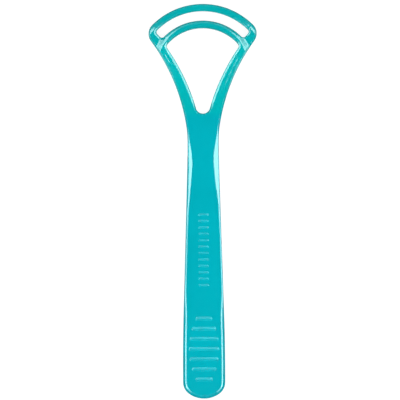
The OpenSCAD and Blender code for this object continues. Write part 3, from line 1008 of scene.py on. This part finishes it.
def add_floor():
    reach, level = FLOOR_REACH, -FLOOR_GAP * MM
    plan = [(-reach, -reach), (reach, -reach), (reach, reach), (-reach, reach)]
    corners = [(x, y, level) for x, y in plan]
    mesh = bpy.data.meshes.new("floor")
    mesh.from_pydata(corners, [], [(0, 1, 2, 3)])
    mesh.materials.append(floor_material())
    floor = bpy.data.objects.new("floor", mesh)
    bpy.context.scene.collection.objects.link(floor)


def add_softbox(name, azimuth, elevation, distance, width, height, radiance, lights=True, shines=True):
    """A panel that faces the scraper, placed in degrees and metres. Azimuth counts from +X
    towards +Y, and the width is level. Without lights it only shows in the gloss, and without
    shines it has no reflection."""
    light = bpy.data.lights.new(name, "AREA")
    light.shape = "RECTANGLE"
    light.size, light.size_y = width, height
    light.energy = radiance * math.pi * width * height
    a, e = math.radians(azimuth), math.radians(elevation)
    away = Vector((math.cos(a) * math.cos(e), math.sin(a) * math.cos(e), math.sin(e)))
    lamp = bpy.data.objects.new(name, light)
    lamp.location = away * distance
    lamp.rotation_euler = away.to_track_quat("Z", "Y").to_euler()
    lamp.visible_camera = False
    lamp.visible_diffuse = lights
    lamp.visible_glossy = shines
    bpy.context.scene.collection.objects.link(lamp)


def add_lights():
    fill = dict(elevation=62, distance=1.3, width=0.8, height=0.8, radiance=2.9, shines=False)
    add_softbox("fill_low", azimuth=-90, **fill)
    add_softbox("fill_high", azimuth=90, **fill)
    key = dict(elevation=52, distance=0.9, width=0.58, height=0.26, radiance=5.4)
    add_softbox("key_right", azimuth=-12, **key)
    add_softbox("key_left", azimuth=194, **key)
    corner = dict(elevation=52, distance=0.9, width=0.42, height=0.26, radiance=2.8, lights=False)
    add_softbox("corner_right", azimuth=-43, **corner)
    add_softbox("corner_left", azimuth=223, **corner)
    upper = dict(elevation=44, distance=0.9, height=0.51, radiance=4.0, lights=False)
    add_softbox("upper_right", azimuth=36, width=0.46, **upper)
    add_softbox("upper_left", azimuth=143, width=0.49, **upper)
    add_softbox("back", azimuth=90, elevation=46, distance=0.9, width=0.6, height=0.4, radiance=1.3,
                lights=False)


# The studio's brightness by the sine of the elevation
STUDIO_LEVELS = [(0.12, 0.04), (0.4, 0.05), (0.5, 0.12), (0.9, 0.12), (0.975, 0.0)]


def set_world():
    """A dim studio round the scraper. The floor is the whole background that the camera sees."""
    world = bpy.data.worlds.new("studio")
    world.use_nodes = True
    bpy.context.scene.world = world
    tree = world.node_tree
    place = add_node(tree, "ShaderNodeTexCoord", {}).outputs["Generated"]
    height = add_node(tree, "ShaderNodeSeparateXYZ", {"Vector": place}).outputs["Z"]
    stops = [(sine, (level, level, level)) for sine, level in STUDIO_LEVELS]
    sky = add_colour_ramp(tree, height, stops)
    feed(tree, tree.nodes["Background"], {"Color": sky})


# Camera over the scraper, in metres: the view has its width at one level. The lean is in degrees
CAMERA_HEIGHT = 1.2
VIEW_WIDTH = 0.1621
VIEW_CENTRE = (-0.00136, 0.00055)
VIEW_LEAN = -0.26
VIEW_LEVEL = 0.004
SENSOR_WIDTH = 36.0


def add_camera():
    data = bpy.data.cameras.new("camera")
    data.sensor_width = SENSOR_WIDTH
    data.lens = SENSOR_WIDTH * (CAMERA_HEIGHT - VIEW_LEVEL) / VIEW_WIDTH
    camera = bpy.data.objects.new("camera", data)
    camera.location = (*VIEW_CENTRE, CAMERA_HEIGHT)
    camera.rotation_euler = (0, 0, math.radians(VIEW_LEAN))
    bpy.context.scene.collection.objects.link(camera)
    bpy.context.scene.camera = camera


add_camera()
body_plastic = teal_plastic("teal_body", roughness=0.1, grain=0.004)
head_plastic = teal_plastic("teal_head", roughness=0.105, grain=0.003)
# The relief's colour is lightened, a painted highlight on the raised ribs and ticks
relief_plastic = teal_plastic("teal_relief", roughness=0.14, grain=0.004, highlight_lightness=1.15)

whole = moulding()
for node in ("grip", "neck", "left_arm", "right_arm"):
    cut_out(whole, node, body_plastic)
for node in ("left_shoulder", "right_shoulder", "outer_bow", "inner_bow"):
    cut_out(whole, node, head_plastic)
lip("outer_lip", HEAD_RADIUS - OUTER_BOW_WIDTH / 2, head_plastic)
lip("inner_lip", INNER_BOW_OUTSIDE - INNER_BOW_WIDTH / 2, head_plastic)
add_thumb_ribs(relief_plastic)
add_grip_ticks(relief_plastic)

add_floor()
add_lights()
set_world()
bpy.context.scene.view_settings.view_transform = "Standard"
